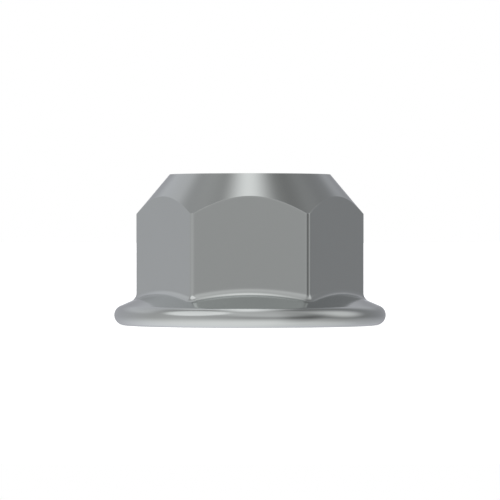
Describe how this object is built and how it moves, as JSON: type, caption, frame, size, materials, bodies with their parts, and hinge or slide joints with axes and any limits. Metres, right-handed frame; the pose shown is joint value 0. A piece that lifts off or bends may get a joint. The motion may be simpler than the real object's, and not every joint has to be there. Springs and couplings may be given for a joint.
{
  "type": "hex flange nut",
  "caption": "Hexagon nut with a wide round flange below and a conical top, tapped through for a metric bolt.",
  "frame": {"origin": "centre of the flat bearing face under the flange", "axes": "+Z along the thread, from the flange towards the conical top; +X through one corner of the hexagon; the flat that the picture shows faces -Y"},
  "size_m": [0.0178, 0.0178, 0.0099],
  "materials": {
    "satin_steel": "plain satin steel, smooth, with soft broad highlights"
  },
  "bodies": {
    "root": {"flange_nut": "satin_steel"}
  },
  "joints": []
}
